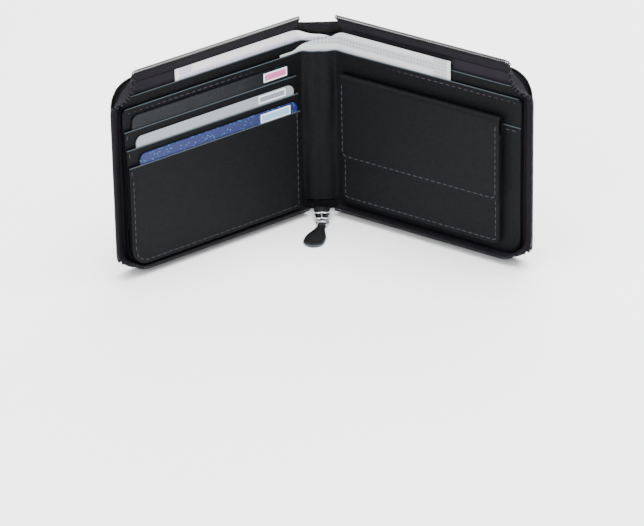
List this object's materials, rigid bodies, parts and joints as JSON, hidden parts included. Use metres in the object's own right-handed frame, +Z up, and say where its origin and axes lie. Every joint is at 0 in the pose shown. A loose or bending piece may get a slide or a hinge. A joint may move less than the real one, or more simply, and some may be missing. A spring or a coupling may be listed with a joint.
{
  "type": "zip around wallet",
  "caption": "Black leather zip-around wallet standing half open, with card slots, banknote compartments, a flapped coin pocket and a wrap-round nylon zip with a leather pull tab.",
  "frame": {"origin": "middle of the spine's bottom edge, on the surface that the wallet stands on", "axes": "+X to the right across the open wallet, +Y out of the back of the spine, +Z up along the spine. The inside faces -Y."},
  "size_m": [0.1854, 0.0663, 0.0995],
  "materials": {
    "outer_leather": "satin",
    "inner_leather": "matte pebble grain",
    "zip_cloth": "woven",
    "zip_coil": "satin",
    "zip_metal": "polished",
    "board": "matte",
    "card_plastic": "satin",
    "note_paper": "matte"
  },
  "bodies": {
    "spine": {"spine_leather": "outer_leather", "spine_lining": "zip_cloth", "spine_divider": "inner_leather", "spine_panel": "inner_leather", "zip_end_top": "zip_cloth", "zip_end_bottom": "zip_cloth", "rear_note_middle": "note_paper", "front_note_middle": "note_paper"},
    "left_cover": {"left_cover_leather": "outer_leather", "left_board": "board", "left_lining": "zip_cloth", "left_divider": "inner_leather", "left_panel": "inner_leather", "card_slot_1": "inner_leather", "card_slot_2": "inner_leather", "card_pocket": "inner_leather", "left_tape_bottom": "zip_cloth", "left_coil_bottom": "zip_coil", "left_tape_corner": "zip_cloth", "left_coil_corner": "zip_coil", "rear_note_left": "note_paper", "front_note_left": "note_paper"},
    "right_cover": {"right_cover_leather": "outer_leather", "right_board": "board", "right_lining": "zip_cloth", "right_divider": "inner_leather", "right_panel": "inner_leather", "slip_pocket": "inner_leather", "coin_pocket_back": "inner_leather", "coin_pocket_gusset": "zip_cloth", "coin_pocket_front": "inner_leather", "stud_socket": "zip_metal", "right_tape_bottom": "zip_cloth", "right_coil_bottom": "zip_coil", "right_tape_corner": "zip_cloth", "right_coil_corner": "zip_coil", "rear_note_right": "note_paper", "front_note_right": "note_paper"},
    "left_top_tape": {"left_tape_top": "zip_cloth", "left_coil_top": "zip_coil"},
    "left_side_tape": {"left_tape_side": "zip_cloth", "left_coil_side": "zip_coil"},
    "right_top_tape": {"right_tape_top": "zip_cloth", "right_coil_top": "zip_coil"},
    "right_side_tape": {"right_tape_side": "zip_cloth", "right_coil_side": "zip_coil"},
    "coin_flap": {"coin_flap": "inner_leather", "stud_cap": "zip_metal"},
    "slider": {"slider_body": "zip_metal"},
    "pull": {"pull_plate": "zip_metal"},
    "tab": {"pull_tab": "outer_leather"},
    "card_1": {"card_1": "card_plastic"},
    "card_2": {"card_2": "card_plastic"},
    "card_3": {"card_3": "card_plastic"}
  },
  "joints": [
    {"name": "left_cover_hinge", "type": "hinge", "parent": "spine", "child": "left_cover", "pos_m": [-0.0095, 0, 0], "axis": [0, 0, -1], "range_deg": [-55, 35]},
    {"name": "right_cover_hinge", "type": "hinge", "parent": "spine", "child": "right_cover", "pos_m": [0.0095, 0, 0], "axis": [0, 0, 1], "range_deg": [-55, 35]},
    {"name": "left_top_tape_fold", "type": "hinge", "parent": "left_cover", "child": "left_top_tape", "pos_m": [-0.04527, -0.02737, 0.0925], "axis": [-0.8192, -0.5736, 0], "range_deg": [-66, 42]},
    {"name": "left_side_tape_fold", "type": "hinge", "parent": "left_cover", "child": "left_side_tape", "pos_m": [-0.08992, -0.05863, 0.047], "axis": [0, 0, -1], "range_deg": [-50, 31.82]},
    {"name": "right_top_tape_fold", "type": "hinge", "parent": "right_cover", "child": "right_top_tape", "pos_m": [0.04527, -0.02737, 0.0925], "axis": [-0.8192, 0.5736, 0], "range_deg": [-66, 42]},
    {"name": "right_side_tape_fold", "type": "hinge", "parent": "right_cover", "child": "right_side_tape", "pos_m": [0.08992, -0.05863, 0.047], "axis": [0, 0, 1], "range_deg": [-50, 31.82]},
    {"name": "coin_flap_hinge", "type": "hinge", "parent": "right_cover", "child": "coin_flap", "pos_m": [0.04543, -0.03395, 0.0715], "axis": [-0.8192, 0.5736, 0], "range_deg": [0, 150]},
    {"name": "slider_slide", "type": "slide", "parent": "spine", "child": "slider", "axis": [0, 1, 0], "range_m": [-0.0745, 0]},
    {"name": "pull_swing", "type": "hinge", "parent": "slider", "child": "pull", "pos_m": [0, -0.01, 0.0009], "axis": [1, 0, 0], "range_deg": [0, 150]},
    {"name": "tab_hinge", "type": "hinge", "parent": "pull", "child": "tab", "pos_m": [0, -0.019, 0.00121], "axis": [-1, 0, 0], "range_deg": [-60, 70]},
    {"name": "card_1_slide", "type": "slide", "parent": "left_cover", "child": "card_1", "axis": [0, 0, 1], "range_m": [0, 0.011]},
    {"name": "card_2_slide", "type": "slide", "parent": "left_cover", "child": "card_2", "axis": [0, 0, 1], "range_m": [0, 0.02]},
    {"name": "card_3_slide", "type": "slide", "parent": "left_cover", "child": "card_3", "axis": [0, 0, 1], "range_m": [0, 0.026]}
  ],
  "couplings": [
    {"joint": "left_top_tape_fold", "follows": "left_cover_hinge", "ratio": 1.2},
    {"joint": "left_side_tape_fold", "follows": "left_cover_hinge", "ratio": 0.909},
    {"joint": "right_top_tape_fold", "follows": "right_cover_hinge", "ratio": 1.2},
    {"joint": "right_side_tape_fold", "follows": "right_cover_hinge", "ratio": 0.909}
  ]
}
